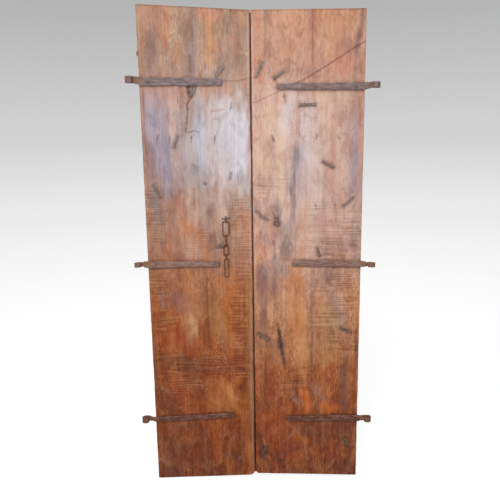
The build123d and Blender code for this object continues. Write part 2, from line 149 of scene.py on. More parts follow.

# Staining, wear and a painted sheen on each seen face, painted in order: colour, brush, strength and path
left_stains_and_sheen = (
    # High on the leaf, the pale pink, lilac, blue and milky washes and patches are painted sheen
    ("blush_and_painted_sheen", "wash", 0.4, ((0.6, 0.81), (0.45, 0.7))),
    ("painted_sheen_lilac", "wash", 0.4, ((0.12, 0.8), (0.22, 0.68))),
    ("blush_and_painted_sheen", "wash", 0.35, ((0.6, 0.64), (0.45, 0.56))),
    ("blush_and_painted_sheen", "patch", 0.5, ((0.85, 0.835), (0.92, 0.8))),
    ("painted_sheen_milk", "patch", 0.3, ((0.7, 0.815), (0.9, 0.8))),
    ("painted_sheen_azure", "band", 0.3, ((0.53, 0.81), (0.53, 0.77))),
    ("painted_sheen_milk", "wash", 0.48, ((0.8, 0.775), (0.86, 0.7))),
    ("painted_sheen_milk", "patch", 0.5, ((0.88, 0.78), (0.9, 0.71))),
    ("painted_sheen_milk", "patch", 0.35, ((0.72, 0.77), (0.7, 0.69))),
    ("painted_sheen_milk", "band", 0.3, ((0.95, 0.79), (0.95, 0.66))),
    ("painted_sheen_milk", "patch", 0.3, ((0.57, 0.77), (0.58, 0.7))),
    ("painted_sheen_azure", "band", 0.4, ((0.51, 0.76), (0.53, 0.71))),
    ("slate", "band", 0.3, ((0.47, 0.82), (0.5, 0.79))),
    ("painted_sheen_lilac", "patch", 0.45, ((0.1, 0.83), (0.12, 0.7))),
    ("painted_sheen_lilac", "band", 0.5, ((0.09, 0.82), (0.1, 0.74))),
    ("painted_sheen_lilac", "band", 0.55, ((0.19, 0.77), (0.22, 0.68))),
    ("slate", "streak", 0.55, ((0.23, 0.75), (0.25, 0.65))),
    ("painted_sheen_lilac", "band", 0.4, ((0.36, 0.79), (0.4, 0.69))),
    ("plum", "streak", 0.35, ((0.36, 0.835), (0.37, 0.775))),
    ("plum", "blot", 0.3, ((0.06, 0.74), (0.08, 0.68))),
    ("mauve", "patch", 0.45, ((0.08, 0.835), (0.2, 0.82))),
    ("painted_sheen_azure", "band", 0.45, ((0.535, 0.75), (0.54, 0.725))),
    ("blush_and_painted_sheen", "band", 0.5, ((0.28, 0.845), (0.29, 0.765))),
    ("painted_sheen_azure", "band", 0.3, ((0.44, 0.73), (0.5, 0.68))),
    ("smoke", "patch", 0.45, ((0.48, 0.685), (0.58, 0.655))),
    ("slate", "blot", 0.35, ((0.58, 0.675), (0.6, 0.66))),
    ("smoke", "blot", 0.2, ((0.6, 0.79), (0.58, 0.81))),
    ("rose", "blot", 0.4, ((0.6, 0.855), (0.8, 0.85))),
    ("rose", "patch", 0.35, ((0.1, 0.85), (0.3, 0.845))),
    ("blush_and_painted_sheen", "band", 0.45, ((0.72, 0.7), (0.73, 0.6))),
    ("painted_sheen_lilac", "blot", 0.45, ((0.88, 0.68), (0.95, 0.672))),
    ("rose", "streak", 0.4, ((0.99, 0.83), (0.99, 0.68))),
    ("umber", "line", 0.3, ((0.015, 0.85), (0.02, 0.62))),
    ("russet", "hair", 0.4, ((0.64, 0.81), (0.75, 0.812))),
    ("russet", "hair", 0.35, ((0.66, 0.795), (0.71, 0.794))),
    ("umber", "hair", 0.5, ((0.42, 0.768), (0.48, 0.772), (0.52, 0.768))),
    ("umber", "hair", 0.4, ((0.44, 0.705), (0.49, 0.698))),
    ("plum", "band", 0.5, ((0.16, 0.995), (0.15, 0.955), (0.1, 0.915))),
    ("plum", "streak", 0.45, ((0.07, 0.935), (0.09, 0.885))),
    ("rose", "patch", 0.3, ((0.05, 1.0), (0.25, 0.99))),
    ("smoke", "streak", 0.4, ((0.49, 0.995), (0.51, 0.95))),
    ("plum", "band", 0.5, ((0.47, 0.96), (0.45, 0.885))),
    ("slate", "streak", 0.35, ((0.48, 0.93), (0.47, 0.885))),
    ("honey", "blot", 0.55, ((0.62, 0.985), (0.66, 0.935))),
    ("honey", "band", 0.4, ((0.64, 0.98), (0.65, 0.92))),
    ("honey", "blot", 0.45, ((0.35, 0.93), (0.34, 0.91))),
    ("honey", "blot", 0.35, ((0.62, 0.915), (0.63, 0.9))),
    ("rose", "blot", 0.5, ((0.56, 0.997), (0.74, 0.992))),
    ("plum", "streak", 0.3, ((0.8, 0.965), (0.81, 0.915))),
    ("rose", "streak", 0.35, ((0.87, 0.985), (0.86, 0.93))),
    ("straw", "hair", 0.3, ((0.26, 0.957), (0.33, 0.962))),
    ("straw", "line", 0.22, ((0.28, 0.946), (0.33, 0.952))),
    ("straw", "line", 0.22, ((0.31, 0.938), (0.34, 0.945))),
    ("straw", "line", 0.28, ((0.9, 0.922), (0.98, 0.917))),
    ("smoke", "line", 0.6, ((0.748, 0.939), (0.75, 0.938))),
    ("honey", "hair", 0.4, ((0.01, 1.0), (0.01, 0.9), (0.012, 0.72), (0.014, 0.55))),
    ("umber", "hair", 0.45, ((0.0, 1.0135), (0.5, 1.0065), (1.0, 0.999))),
    ("smoke", "line", 0.75, ((0.475, 0.862), (0.462, 0.84))),
    ("smoke", "blot", 0.4, ((0.08, 0.64), (0.12, 0.59))),
    ("smoke", "band", 0.28, ((0.1, 0.62), (0.11, 0.545))),
    ("plum", "band", 0.35, ((0.26, 0.63), (0.24, 0.58))),
    ("russet", "patch", 0.35, ((0.22, 0.625), (0.34, 0.615))),
    ("plum", "blot", 0.65, ((0.61, 0.615), (0.6, 0.585))),
    ("plum", "blot", 0.5, ((0.6, 0.568), (0.62, 0.55))),
    ("amber", "patch", 0.55, ((0.38, 0.57), (0.5, 0.555))),
    ("amber", "blot", 0.45, ((0.57, 0.54), (0.56, 0.505))),
    ("russet", "patch", 0.35, ((0.22, 0.54), (0.25, 0.5))),
    ("plum", "blot", 0.5, ((0.24, 0.515), (0.33, 0.508))),
    ("smoke", "blot", 0.45, ((0.7, 0.555), (0.68, 0.53))),
    ("rose", "band", 0.4, ((0.9, 0.6), (0.92, 0.5))),
    ("amber", "band", 0.45, ((0.8, 0.47), (0.82, 0.4))),
    ("russet", "band", 0.35, ((0.88, 0.48), (0.89, 0.4))),
    ("plum", "blot", 0.4, ((0.25, 0.425), (0.29, 0.4))),
    ("straw", "line", 0.11, ((0.38, 0.455), (0.46, 0.44))),
    ("amber", "band", 0.45, ((0.36, 0.44), (0.4, 0.39))),
    ("straw", "line", 0.13, ((0.09, 0.428), (0.13, 0.405))),
    ("straw", "hair", 0.19, ((0.08, 0.376), (0.3, 0.38))),
    ("straw", "hair", 0.17, ((0.1, 0.369), (0.26, 0.372))),
    ("olive", "patch", 0.55, ((0.62, 0.4), (0.68, 0.34))),
    ("olive", "patch", 0.45, ((0.6, 0.2), (0.78, 0.18))),
    ("olive", "band", 0.55, ((0.98, 0.46), (0.98, 0.16))),
    ("smoke", "blot", 0.35, ((0.12, 0.43), (0.14, 0.405))),
    ("plum", "patch", 0.35, ((0.24, 0.425), (0.36, 0.405))),
    ("straw", "patch", 0.25, ((0.42, 0.37), (0.4, 0.35))),
    ("straw", "blot", 0.3, ((0.4, 0.372), (0.43, 0.35))),
    ("russet", "blot", 0.55, ((0.8, 0.37), (0.86, 0.345))),
    ("russet", "band", 0.4, ((0.62, 0.27), (0.58, 0.22))),
    ("russet", "patch", 0.8, ((0.25, 0.345), (0.34, 0.31))),
    ("russet", "patch", 0.65, ((0.06, 0.36), (0.1, 0.31))),
    ("umber", "streak", 0.5, ((0.55, 0.43), (0.57, 0.31))),
    ("umber", "band", 0.35, ((0.53, 0.38), (0.52, 0.3))),
    ("amber", "band", 0.45, ((0.76, 0.41), (0.78, 0.33))),
    ("honey", "blot", 0.45, ((0.82, 0.33), (0.87, 0.308))),
    ("umber", "streak", 0.45, ((0.015, 0.36), (0.02, 0.24))),
    ("umber", "blot", 0.5, ((0.3, 0.3), (0.34, 0.265))),
    ("umber", "patch", 0.5, ((0.1, 0.275), (0.45, 0.265))),
    ("umber", "hair", 0.5, ((0.1, 0.262), (0.4, 0.256), (0.7, 0.262), (0.92, 0.258))),
    ("umber", "hair", 0.45, ((0.22, 0.285), (0.42, 0.281))),
    ("umber", "hair", 0.4, ((0.14, 0.276), (0.45, 0.27))),
    ("umber", "hair", 0.4, ((0.05, 0.25), (0.38, 0.246))),
    ("straw", "hair", 0.19, ((0.25, 0.238), (0.48, 0.234))),
    ("straw", "hair", 0.17, ((0.28, 0.228), (0.48, 0.224))),
    ("honey", "blot", 0.55, ((0.75, 0.22), (0.78, 0.19))),
    ("straw", "line", 0.15, ((0.06, 0.218), (0.16, 0.205))),
    ("straw", "hair", 0.24, ((0.861, 0.333), (0.866, 0.329))),
    ("straw", "hair", 0.24, ((0.835, 0.19), (0.865, 0.186))),
    ("russet", "patch", 0.4, ((0.3, 0.22), (0.22, 0.17))),
    ("umber", "patch", 0.55, ((0.05, 0.2), (0.15, 0.165))),
    ("amber", "patch", 0.35, ((0.6, 0.19), (0.88, 0.17))),
    ("umber", "blot", 0.5, ((0.2, 0.128), (0.42, 0.124))),
    ("umber", "patch", 0.5, ((0.1, 0.1), (0.25, 0.07))),
    ("smoke", "patch", 0.12, ((0.05, 0.05), (0.12, 0.02))),
    ("umber", "band", 0.4, ((0.48, 0.1), (0.5, 0.04))),
    ("amber", "band", 0.4, ((0.6, 0.12), (0.62, 0.07))),
    ("amber", "band", 0.45, ((0.92, 0.12), (0.95, 0.03))),
    ("umber", "blot", 0.45, ((0.7, 0.06), (0.86, 0.05))),
    ("soot_and_shadow", "hair", 0.4, ((0.7, 0.062), (0.84, 0.052))),
    ("smoke", "streak", 0.3, ((0.985, 0.42), (0.985, 0.05))),
    ("soot_and_shadow", "hair", 0.85, ((0.715, 0.592), (0.795, 0.592))),
    ("soot_and_shadow", "hair", 0.6, ((0.65, 0.531), (0.74, 0.531))),
    ("soot_and_shadow", "hair", 0.5, ((0.33, 0.838), (0.333, 0.828))),
    ("soot_and_shadow", "hair", 0.4, ((0.8, 0.962), (0.801, 0.958))),
    ("soot_and_shadow", "hair", 0.45, ((0.055, 0.325), (0.075, 0.31))),
    ("soot_and_shadow", "hair", 0.7, ((0.14, 0.762), (0.13, 0.745))),
    ("soot_and_shadow", "hair", 0.6, ((0.25, 0.761), (0.244, 0.748))),
    ("umber", "hair", 0.55, ((0.452, 0.76), (0.446, 0.748))),
    ("soot_and_shadow", "hair", 0.7, ((0.67, 0.761), (0.662, 0.744))),
    ("plum", "hair", 0.7, ((0.826, 0.824), (0.812, 0.81))),
    ("blush_and_painted_sheen", "hair", 0.45, ((0.98, 0.99), (0.98, 0.5))),
    ("honey", "hair", 0.4, ((0.98, 0.5), (0.975, 0.06))),
    # Painted shade down the meeting edge, beside the gap
    ("umber", "hair", 0.35, ((1.000, 0.97), (1.000, 0.02))),
    # Painted shade along the foot of the leaf
    ("umber", "line", 0.45, ((0.0, 0.0), (1.0, 0.0))),
)
right_stains_and_sheen = (
    # High on the leaf, the pale pink and milky washes and patches are painted sheen
    ("blush_and_painted_sheen", "wash", 0.45, ((0.7, 0.81), (0.55, 0.68))),
    ("blush_and_painted_sheen", "wash", 0.4, ((0.35, 0.81), (0.4, 0.68))),
    ("blush_and_painted_sheen", "wash", 0.5, ((0.7, 0.63), (0.35, 0.55))),
    ("blush_and_painted_sheen", "patch", 0.35, ((0.42, 0.66), (0.44, 0.58))),
    ("painted_sheen_milk", "patch", 0.35, ((0.48, 0.81), (0.5, 0.72))),
    ("straw", "patch", 0.4, ((0.84, 0.8), (0.9, 0.7))),
    ("painted_sheen_milk", "band", 0.3, ((0.66, 0.82), (0.72, 0.77))),
    ("straw", "band", 0.45, ((0.74, 0.74), (0.76, 0.65))),
    ("straw", "patch", 0.35, ((0.36, 0.84), (0.33, 0.78))),
    ("blush_and_painted_sheen", "band", 0.25, ((0.42, 0.72), (0.44, 0.63))),
    ("blush_and_painted_sheen", "patch", 0.3, ((0.3, 0.8), (0.22, 0.68))),
    ("rose", "streak", 0.6, ((0.47, 1.0), (0.46, 0.89))),
    ("plum", "streak", 0.3, ((0.455, 1.0), (0.455, 0.9))),
    ("rose", "streak", 0.4, ((0.44, 0.98), (0.43, 0.9))),
    ("smoke", "streak", 0.3, ((0.88, 1.0), (0.87, 0.93))),
    ("rose", "band", 0.25, ((0.98, 0.97), (0.97, 0.86))),
    ("honey", "band", 0.3, ((0.3, 0.99), (0.28, 0.92))),
    ("rose", "band", 0.55, ((0.22, 0.96), (0.2, 0.91))),
    ("plum", "streak", 0.55, ((0.04, 0.99), (0.07, 0.93))),
    ("plum", "streak", 0.5, ((0.05, 0.96), (0.09, 0.91))),
    ("plum", "blot", 0.4, ((0.2, 0.935), (0.12, 0.915))),
    ("honey", "blot", 0.45, ((0.14, 0.985), (0.18, 0.975))),
    ("rose", "patch", 0.5, ((0.34, 0.885), (0.16, 0.895))),
    ("plum", "blot", 0.4, ((0.55, 0.885), (0.42, 0.88))),
    ("plum", "band", 0.45, ((0.06, 0.845), (0.07, 0.75), (0.08, 0.66))),
    ("mauve", "patch", 0.6, ((0.06, 0.76), (0.06, 0.67))),
    ("painted_sheen_lilac", "band", 0.25, ((0.09, 0.76), (0.09, 0.66))),
    ("slate", "blot", 0.25, ((0.09, 0.715), (0.09, 0.685))),
    ("rose", "streak", 0.5, ((0.015, 0.9), (0.015, 0.6))),
    ("rose", "band", 0.45, ((0.27, 0.77), (0.28, 0.68))),
    ("slate", "band", 0.22, ((0.6, 0.7), (0.63, 0.65))),
    ("slate", "streak", 0.95, ((0.598, 0.722), (0.61, 0.69), (0.636, 0.645))),
    ("smoke", "streak", 0.8, ((0.632, 0.665), (0.65, 0.64), (0.638, 0.62))),
    ("smoke", "blot", 0.3, ((0.625, 0.73), (0.655, 0.67))),
    ("painted_sheen_lilac", "band", 0.35, ((0.55, 0.74), (0.54, 0.65))),
    ("plum", "streak", 0.35, ((0.62, 0.67), (0.62, 0.61))),
    ("smoke", "blot", 0.45, ((0.79, 0.605), (0.79, 0.58))),
    ("smoke", "patch", 0.35, ((0.78, 0.6), (0.74, 0.54))),
    ("smoke", "blot", 0.45, ((0.97, 0.61), (0.88, 0.59))),
    ("smoke", "patch", 0.4, ((0.7, 0.565), (0.66, 0.525))),
    ("plum", "blot", 0.4, ((0.9, 0.56), (0.84, 0.545))),
    ("honey", "band", 0.3, ((0.52, 0.6), (0.55, 0.53))),
    ("rose", "patch", 0.3, ((0.4, 0.58), (0.3, 0.55))),
    ("plum", "patch", 0.4, ((0.32, 0.53), (0.18, 0.52))),
    ("smoke", "band", 0.4, ((0.05, 0.6), (0.06, 0.51))),
    ("honey", "streak", 0.4, ((0.96, 0.57), (0.97, 0.47))),
    ("amber", "blot", 0.4, ((0.92, 0.53), (0.9, 0.51))),
    ("smoke", "blot", 0.5, ((0.8, 0.5), (0.72, 0.48))),
    ("smoke", "patch", 0.38, ((0.9, 0.475), (0.78, 0.455))),
    ("plum", "patch", 0.4, ((0.93, 0.46), (0.84, 0.43))),
    ("plum", "band", 0.6, ((0.93, 0.48), (0.92, 0.37))),
    ("smoke", "patch", 0.28, ((0.3, 0.44), (0.2, 0.38))),
    ("blush_and_painted_sheen", "patch", 0.22, ((0.25, 0.42), (0.22, 0.36))),
    ("umber", "blot", 0.45, ((0.92, 0.385), (0.9, 0.37))),
    ("umber", "streak", 0.45, ((0.8, 0.46), (0.8, 0.38))),
    ("smoke", "blot", 0.35, ((0.36, 0.475), (0.26, 0.47))),
    ("amber", "patch", 0.6, ((0.62, 0.46), (0.6, 0.36))),
    ("honey", "band", 0.55, ((0.55, 0.45), (0.53, 0.26))),
    ("umber", "hair", 0.35, ((0.6, 0.44), (0.59, 0.35))),
    ("umber", "streak", 0.55, ((0.45, 0.41), (0.455, 0.27))),
    ("olive", "patch", 0.5, ((0.3, 0.39), (0.28, 0.3))),
    ("plum", "patch", 0.35, ((0.42, 0.475), (0.15, 0.46))),
    ("straw", "line", 0.3, ((0.35, 0.455), (0.28, 0.435))),
    ("plum", "blot", 0.5, ((0.86, 0.325), (0.78, 0.305))),
    ("plum", "blot", 0.4, ((0.742, 0.315), (0.72, 0.285))),
    ("plum", "line", 0.6, ((0.752, 0.312), (0.718, 0.274))),
    ("umber", "line", 0.5, ((0.735, 0.31), (0.704, 0.272))),
    ("soot_and_shadow", "line", 0.55, ((0.764, 0.346), (0.742, 0.312))),
    ("soot_and_shadow", "hair", 0.5, ((0.748, 0.332), (0.726, 0.296))),
    ("amber", "line", 0.55, ((0.705, 0.338), (0.695, 0.308))),
    ("umber", "hair", 0.3, ((0.687, 0.2525), (0.5, 0.264), (0.317, 0.273))),
    ("russet", "band", 0.45, ((0.86, 0.27), (0.84, 0.2))),
    ("umber", "band", 0.4, ((0.14, 0.285), (0.12, 0.175))),
    ("plum", "band", 0.45, ((0.14, 0.255), (0.12, 0.175))),
    ("umber", "patch", 0.4, ((0.93, 0.325), (0.84, 0.3))),
    ("umber", "blot", 0.45, ((0.17, 0.26), (0.14, 0.225))),
    ("umber", "streak", 0.45, ((0.03, 0.33), (0.04, 0.17))),
    ("smoke", "blot", 0.35, ((0.62, 0.195), (0.58, 0.185))),
    ("smoke", "blot", 0.3, ((0.42, 0.215), (0.34, 0.19))),
    ("flame", "blot", 0.75, ((0.52, 0.205), (0.48, 0.17))),
    ("flame", "blot", 0.6, ((0.32, 0.172), (0.22, 0.168))),
    ("umber", "streak", 0.4, ((0.9, 0.27), (0.91, 0.17))),
    ("russet", "patch", 0.5, ((0.95, 0.145), (0.72, 0.13))),
    ("umber", "patch", 0.55, ((0.05, 0.125), (0.5, 0.115))),
    ("amber", "blot", 0.4, ((0.62, 0.1), (0.5, 0.09))),
    ("umber", "band", 0.6, ((0.06, 0.11), (0.1, 0.03))),
    ("umber", "patch", 0.45, ((0.6, 0.025), (0.2, 0.02))),
    ("russet", "patch", 0.35, ((0.85, 0.1), (0.6, 0.06))),
    ("umber", "hair", 0.4, ((0.74, 0.058), (0.45, 0.082), (0.12, 0.112))),
    ("soot_and_shadow", "streak", 0.3, ((0.97, 0.1), (0.9, 0.055))),
    ("honey", "line", 0.3, ((0.92, 0.095), (0.9, 0.08))),
    ("soot_and_shadow", "hair", 0.8, ((0.755, 0.048), (0.752, 0.03))),
    ("soot_and_shadow", "line", 0.45, ((0.765, 0.042), (0.73, 0.04))),
    ("soot_and_shadow", "hair", 0.75, ((0.314, 0.043), (0.31, 0.028))),
    ("straw", "wash", 0.08, ((0.7, 0.4), (0.3, 0.38))),
    ("soot_and_shadow", "hair", 0.6, ((0.42, 0.763), (0.42, 0.752))),
    ("soot_and_shadow", "hair", 0.55, ((0.23, 0.758), (0.215, 0.753))),
    ("soot_and_shadow", "hair", 0.55, ((0.435, 0.622), (0.42, 0.61))),
    ("soot_and_shadow", "hair", 0.45, ((0.25, 0.624), (0.248, 0.612))),
    ("plum", "line", 0.45, ((0.715, 0.846), (0.718, 0.836))),
    ("soot_and_shadow", "line", 0.4, ((0.815, 0.757), (0.8, 0.748))),
    ("smoke", "line", 0.75, ((0.165, 0.614), (0.085, 0.632))),
    ("soot_and_shadow", "line", 0.45, ((0.82, 0.6), (0.76, 0.575))),
    ("umber", "hair", 0.3, ((0.98, 0.66), (0.75, 0.655))),
    ("umber", "hair", 0.45, ((0.0, 0.999), (1.0, 0.999))),
    ("soot_and_shadow", "hair", 0.4, ((0.0, 0.9405), (0.533, 0.868))),
    # Painted shade along the foot of the leaf
    ("umber", "line", 0.45, ((0.0, 0.0), (1.0, 0.0))),
    ("umber", "hair", 0.2, ((0.533, 0.868), (0.97, 0.825))),
    ("blush_and_painted_sheen", "hair", 0.5, ((0.99, 0.99), (0.99, 0.6))),
)
stains_and_sheen = {"left": left_stains_and_sheen, "right": right_stains_and_sheen}

# Arched figure in the grain: its middle, half width, half height, number of arches and strength
arched_figures = {
    "left": ((0.665, 0.29), 0.036, 0.085, 6, 0.4),
    "right": ((0.52, 0.785), 0.05, 0.09, 6, 0.14),
}

# Cracks, gouges, knots and other hollows in each seen face: half width, depth, darkness and path
left_hollows = (
    (0.007, 0.005, 0.9, ((0.437, 0.866), (0.44, 0.85), (0.45, 0.838))),
    (0.0035, 0.004, 0.95, ((0.512, 0.86), (0.49, 0.846), (0.455, 0.835))),
    (0.013, 0.003, 0.42, ((0.475, 0.86), (0.462, 0.842))),
    (0.0035, 0.004, 0.85, ((0.455, 0.836), (0.42, 0.822), (0.424, 0.812))),
    (0.0035, 0.003, 0.85, ((0.424, 0.812), (0.416, 0.795), (0.398, 0.769))),
    (0.004, 0.0025, 0.55, ((0.46, 0.916), (0.459, 0.885))),
    (0.004, 0.0015, 0.4, ((0.752, 0.868), (0.88, 0.866), (0.99, 0.872))),
    (0.006, 0.002, 0.65, ((0.811, 0.6855), (0.802, 0.6736))),
    (0.006, 0.003, 0.75, ((0.558, 0.6652), (0.57, 0.664))),
    (0.005, 0.002, 0.55, ((0.428, 0.2084), (0.434, 0.1857), (0.468, 0.1685))),
    (0.004, 0.002, 0.45, ((0.46, 0.655), (0.462, 0.61))),
)
right_hollows = (
    (0.003, 0.002, 0.45, ((0.466, 0.998), (0.462, 0.94), (0.462, 0.898))),
    (0.005, 0.003, 0.85, ((0.776, 0.362), (0.765, 0.346))),
    (0.009, 0.005, 1.00, ((0.763, 0.344), (0.755, 0.33))),
    (0.014, 0.006, 1.00, ((0.755, 0.328), (0.744, 0.312))),
    (0.009, 0.005, 0.75, ((0.742, 0.308), (0.73, 0.292))),
    (0.006, 0.004, 0.6, ((0.73, 0.292), (0.706, 0.264))),
    (0.011, 0.004, 0.45, ((0.165, 0.614), (0.125, 0.62), (0.084, 0.63))),
    (0.006, 0.003, 0.7, ((0.812, 0.542), (0.806, 0.538))),
    (0.004, 0.003, 0.6, ((0.808, 0.535), (0.8, 0.518), (0.803, 0.505))),
    (0.005, 0.002, 0.12, ((0.607, 0.75), (0.616, 0.712), (0.64, 0.69))),
    (0.0035, 0.002, 0.4, ((0.655, 0.658), (0.651, 0.64))),
    (0.004, 0.002, 0.4, ((0.612, 0.64), (0.606, 0.612))),
    (0.008, 0.0025, 0.65, ((0.968, 0.606), (0.92, 0.594), (0.86, 0.587))),
    (0.006, 0.003, 0.5, ((0.706, 0.836), (0.7, 0.826))),
    (0.005, 0.003, 0.55, ((0.827, 0.759), (0.803, 0.749))),
    (0.005, 0.002, 0.55, ((0.607, 0.198), (0.65, 0.188))),
    (0.005, 0.002, 0.6, ((0.965, 0.105), (0.915, 0.066), (0.82, 0.05), (0.752, 0.04))),
)
hollows = {"left": left_hollows, "right": right_hollows}

# Where the saw left its marks across the grain: strength and path
left_saw_marks = (
    (1.0, ((0.04, 0.64), (0.12, 0.56))),
    (0.7, ((0.88, 0.62), (0.94, 0.46))),
    (0.8, ((0.1, 0.47), (0.08, 0.42))),
    (0.5, ((0.45, 0.5), (0.55, 0.57))),
    (1.0, ((0.12, 0.285), (0.9, 0.26))),
    (0.7, ((0.88, 0.42), (0.92, 0.25))),
    (0.8, ((0.18, 0.375), (0.12, 0.36))),
    (0.8, ((0.2, 0.235), (0.45, 0.225))),
    (0.5, ((0.15, 0.2), (0.2, 0.17))),
)
right_saw_marks = (
    (1.0, ((0.08, 0.59), (0.32, 0.55))),
    (1.0, ((0.06, 0.55), (0.35, 0.51))),
    (0.7, ((0.4, 0.61), (0.45, 0.54))),
    (0.8, ((0.1, 0.46), (0.35, 0.45))),
    (0.7, ((0.12, 0.42), (0.4, 0.36))),
    (0.6, ((0.3, 0.34), (0.1, 0.3))),
    (0.4, ((0.7, 0.67), (0.95, 0.65))),
    (0.5, ((0.5, 0.24), (0.7, 0.22))),
)
saw_marks = {"left": left_saw_marks, "right": right_saw_marks}
saw_mark_reach = (0.07, 0.055)


def spot(side, across, up):
    """A point (x, z) on the face of a leaf."""
    outer = outer_edge[side]
    return outer + across * (meeting_edge[side] - outer), up * leaf_height


def waver(x, z, cell_x, cell_z, seed):
    """Smooth noise from -1 to 1 over a face, in cells of the given size."""
    lattice = np.random.default_rng(seed).uniform(-1, 1, (97, 101))
    across, up = x / cell_x, z / cell_z
    i, j = np.floor(across).astype(int), np.floor(up).astype(int)
    s, t = across - i, up - j
    s, t = s * s * (3 - 2 * s), t * t * (3 - 2 * t)
    row, next_row = i % 97, (i + 1) % 97
    column, next_column = j % 101, (j + 1) % 101
    low = lattice[row, column] * (1 - s) + lattice[next_row, column] * s
    high = lattice[row, next_column] * (1 - s) + lattice[next_row, next_column] * s
    return low * (1 - t) + high * t


def stray(x, z, cells, seed):
    """How far a mark strays from its path: fine and coarse noise together."""
    fine, coarse = cells
    return waver(x, z, *fine, seed) + 0.6 * waver(x, z, *coarse, seed + 1)


def nearness(x, z, side, path, reach):
    """1 on a path over a leaf's face, falling to 0 at the given reach across and up from it."""
    points = [spot(side, *place) for place in path]
    nearest = np.full(x.shape, 9.0)
    for (ax, az), (bx, bz) in zip(points, points[1:] or points):
        run, rise = (bx - ax) / reach[0], (bz - az) / reach[1]
        to_x, to_z = (x - ax) / reach[0], (z - az) / reach[1]
        along = np.clip((to_x * run + to_z * rise) / np.maximum(run * run + rise * rise, hair), 0, 1)
        nearest = np.minimum(nearest, np.hypot(to_x - along * run, to_z - along * rise))
    return np.clip(1 - nearest, 0, 1)


def only(piece):
    """Makes one object the only selected one, and the active one."""
    bpy.ops.object.select_all(action="DESELECT")
    piece.select_set(True)
    bpy.context.view_layer.objects.active = piece


def vertex_places(piece):
    """The places of a mesh's vertices, as an array."""
    places = np.empty(len(piece.data.vertices) * 3)
    piece.data.vertices.foreach_get("co", places)
    return places.reshape(-1, 3)


def edge_heights(node, x):
    """The lowest and highest point of a board's long edge at x."""
    heights = [v.co.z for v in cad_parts[node].data.vertices if abs(v.co.x - x) < hair]
    return min(heights), max(heights)


def steps(length, pitch):
    """Where lines of a grid cross a length: close together near both ends, and evenly between."""
    close = round(edge_band / edge_pitch)
    even = round((length - 2 * edge_band) / pitch)
    start = np.linspace(0, edge_band, close, endpoint=False)
    middle = np.linspace(edge_band, length - edge_band, even, endpoint=False)
    end = np.linspace(length - edge_band, length, close + 1)
    return np.concatenate((start, middle, end))


def board_face(board, pitch, seen):
    """One face of a board: a grid pulled to its outline, worn at its edges and hollowed by its damage."""
    side, lo_x, hi_x = board["side"], board["lo_x"], board["hi_x"]
    across = steps(hi_x - lo_x, pitch) / (hi_x - lo_x)
    tallest = max(board["head"][1]) - min(board["foot"][1])
    up = steps(tallest, pitch) / tallest
    bpy.ops.object.select_all(action="DESELECT")
    bpy.ops.mesh.primitive_grid_add(x_subdivisions=len(across) - 1, y_subdivisions=len(up) - 1, size=1)
    face = bpy.context.object
    places = vertex_places(face)
    column = np.rint((places[:, 0] + 0.5) * (len(across) - 1)).astype(int)
    row = np.rint((places[:, 1] + 0.5) * (len(up) - 1)).astype(int)
    x = lo_x + across[column] * (hi_x - lo_x)
    foot = np.interp(x, *board["foot"])
    head = np.interp(x, *board["head"])
    z = foot + up[row] * (head - foot)

    # The worn corner at the foot of the meeting edge
    inward = 1 if side == "right" else -1
    to_meeting = np.abs(x - meeting_edge[side])
    to_foot = z - foot
    to_edge = np.minimum(np.minimum(x - lo_x, hi_x - x), np.minimum(to_foot, head - z))
    if board["worn"]:
        radius = board["worn"]
        a, b = radius - to_meeting, radius - to_foot
        corner = (a > 0) & (b > 0)
        reach = np.maximum(a, b)
        pull = np.where(corner, reach / np.maximum(np.hypot(a, b), hair), 1)
        x = np.where(corner, meeting_edge[side] + inward * (radius - a * pull), x)
        z = np.where(corner, foot + radius - b * pull, z)
        to_edge = np.where(corner, radius - reach, to_edge)

    # Chipped and rounded edges
    at_scarf = (head - z < scarf_band) & board["scarf_head"] | (z - foot < scarf_band) & board["scarf_foot"]
    chip = np.clip(waver(x + z, z, *chip_cells, 5) - 0.25, 0, 1)
    chip = chip + 0.35 * np.clip(waver(x, z, *small_chip_cells, 6), 0, 1)
    chip = chip_depth * chip * np.clip(1 - to_edge / chip_reach, 0, 1)
    near_long_edge = np.minimum(x - lo_x, hi_x - x) <= to_edge + hair
    x = x + np.where(near_long_edge & ~at_scarf, np.where(x - lo_x < hi_x - x, chip, -chip), 0)
    round_over = arris * (1.15 + 0.45 * waver(x, z, *arris_cells, 7))
    round_over = np.where(at_scarf, scarf_arris, round_over)
    inside = np.clip(round_over - to_edge, 0, round_over)
    depth = round_over - np.sqrt(round_over ** 2 - inside ** 2)

    # The uneven face and its damage
    depth = depth + hollow_depth * (0.5 + 0.5 * waver(x, z, *dip_cells, 8))
    depth = depth + 0.35 * hollow_depth * (0.5 + 0.5 * waver(x, z, *small_dip_cells, 9))
    if seen:
        for width, deep, _, path in hollows[side]:
            ragged = width * (1 + 0.35 * waver(x, z, *torn_cells, 10))
            depth = depth + deep * nearness(x, z, side, path, (ragged, ragged)) ** 0.7
    y = face_y + depth if seen else hidden_y - depth
    x = x - board["flare"] * z / tallest * (hi_x - x) / (hi_x - lo_x)
    face.data.vertices.foreach_set("co", np.column_stack((x, y, z)).ravel())
    if not seen:
        only(face)
        bpy.ops.object.mode_set(mode="EDIT")
        bpy.ops.mesh.select_all(action="SELECT")
        bpy.ops.mesh.flip_normals()
        bpy.ops.object.mode_set(mode="OBJECT")
    return face


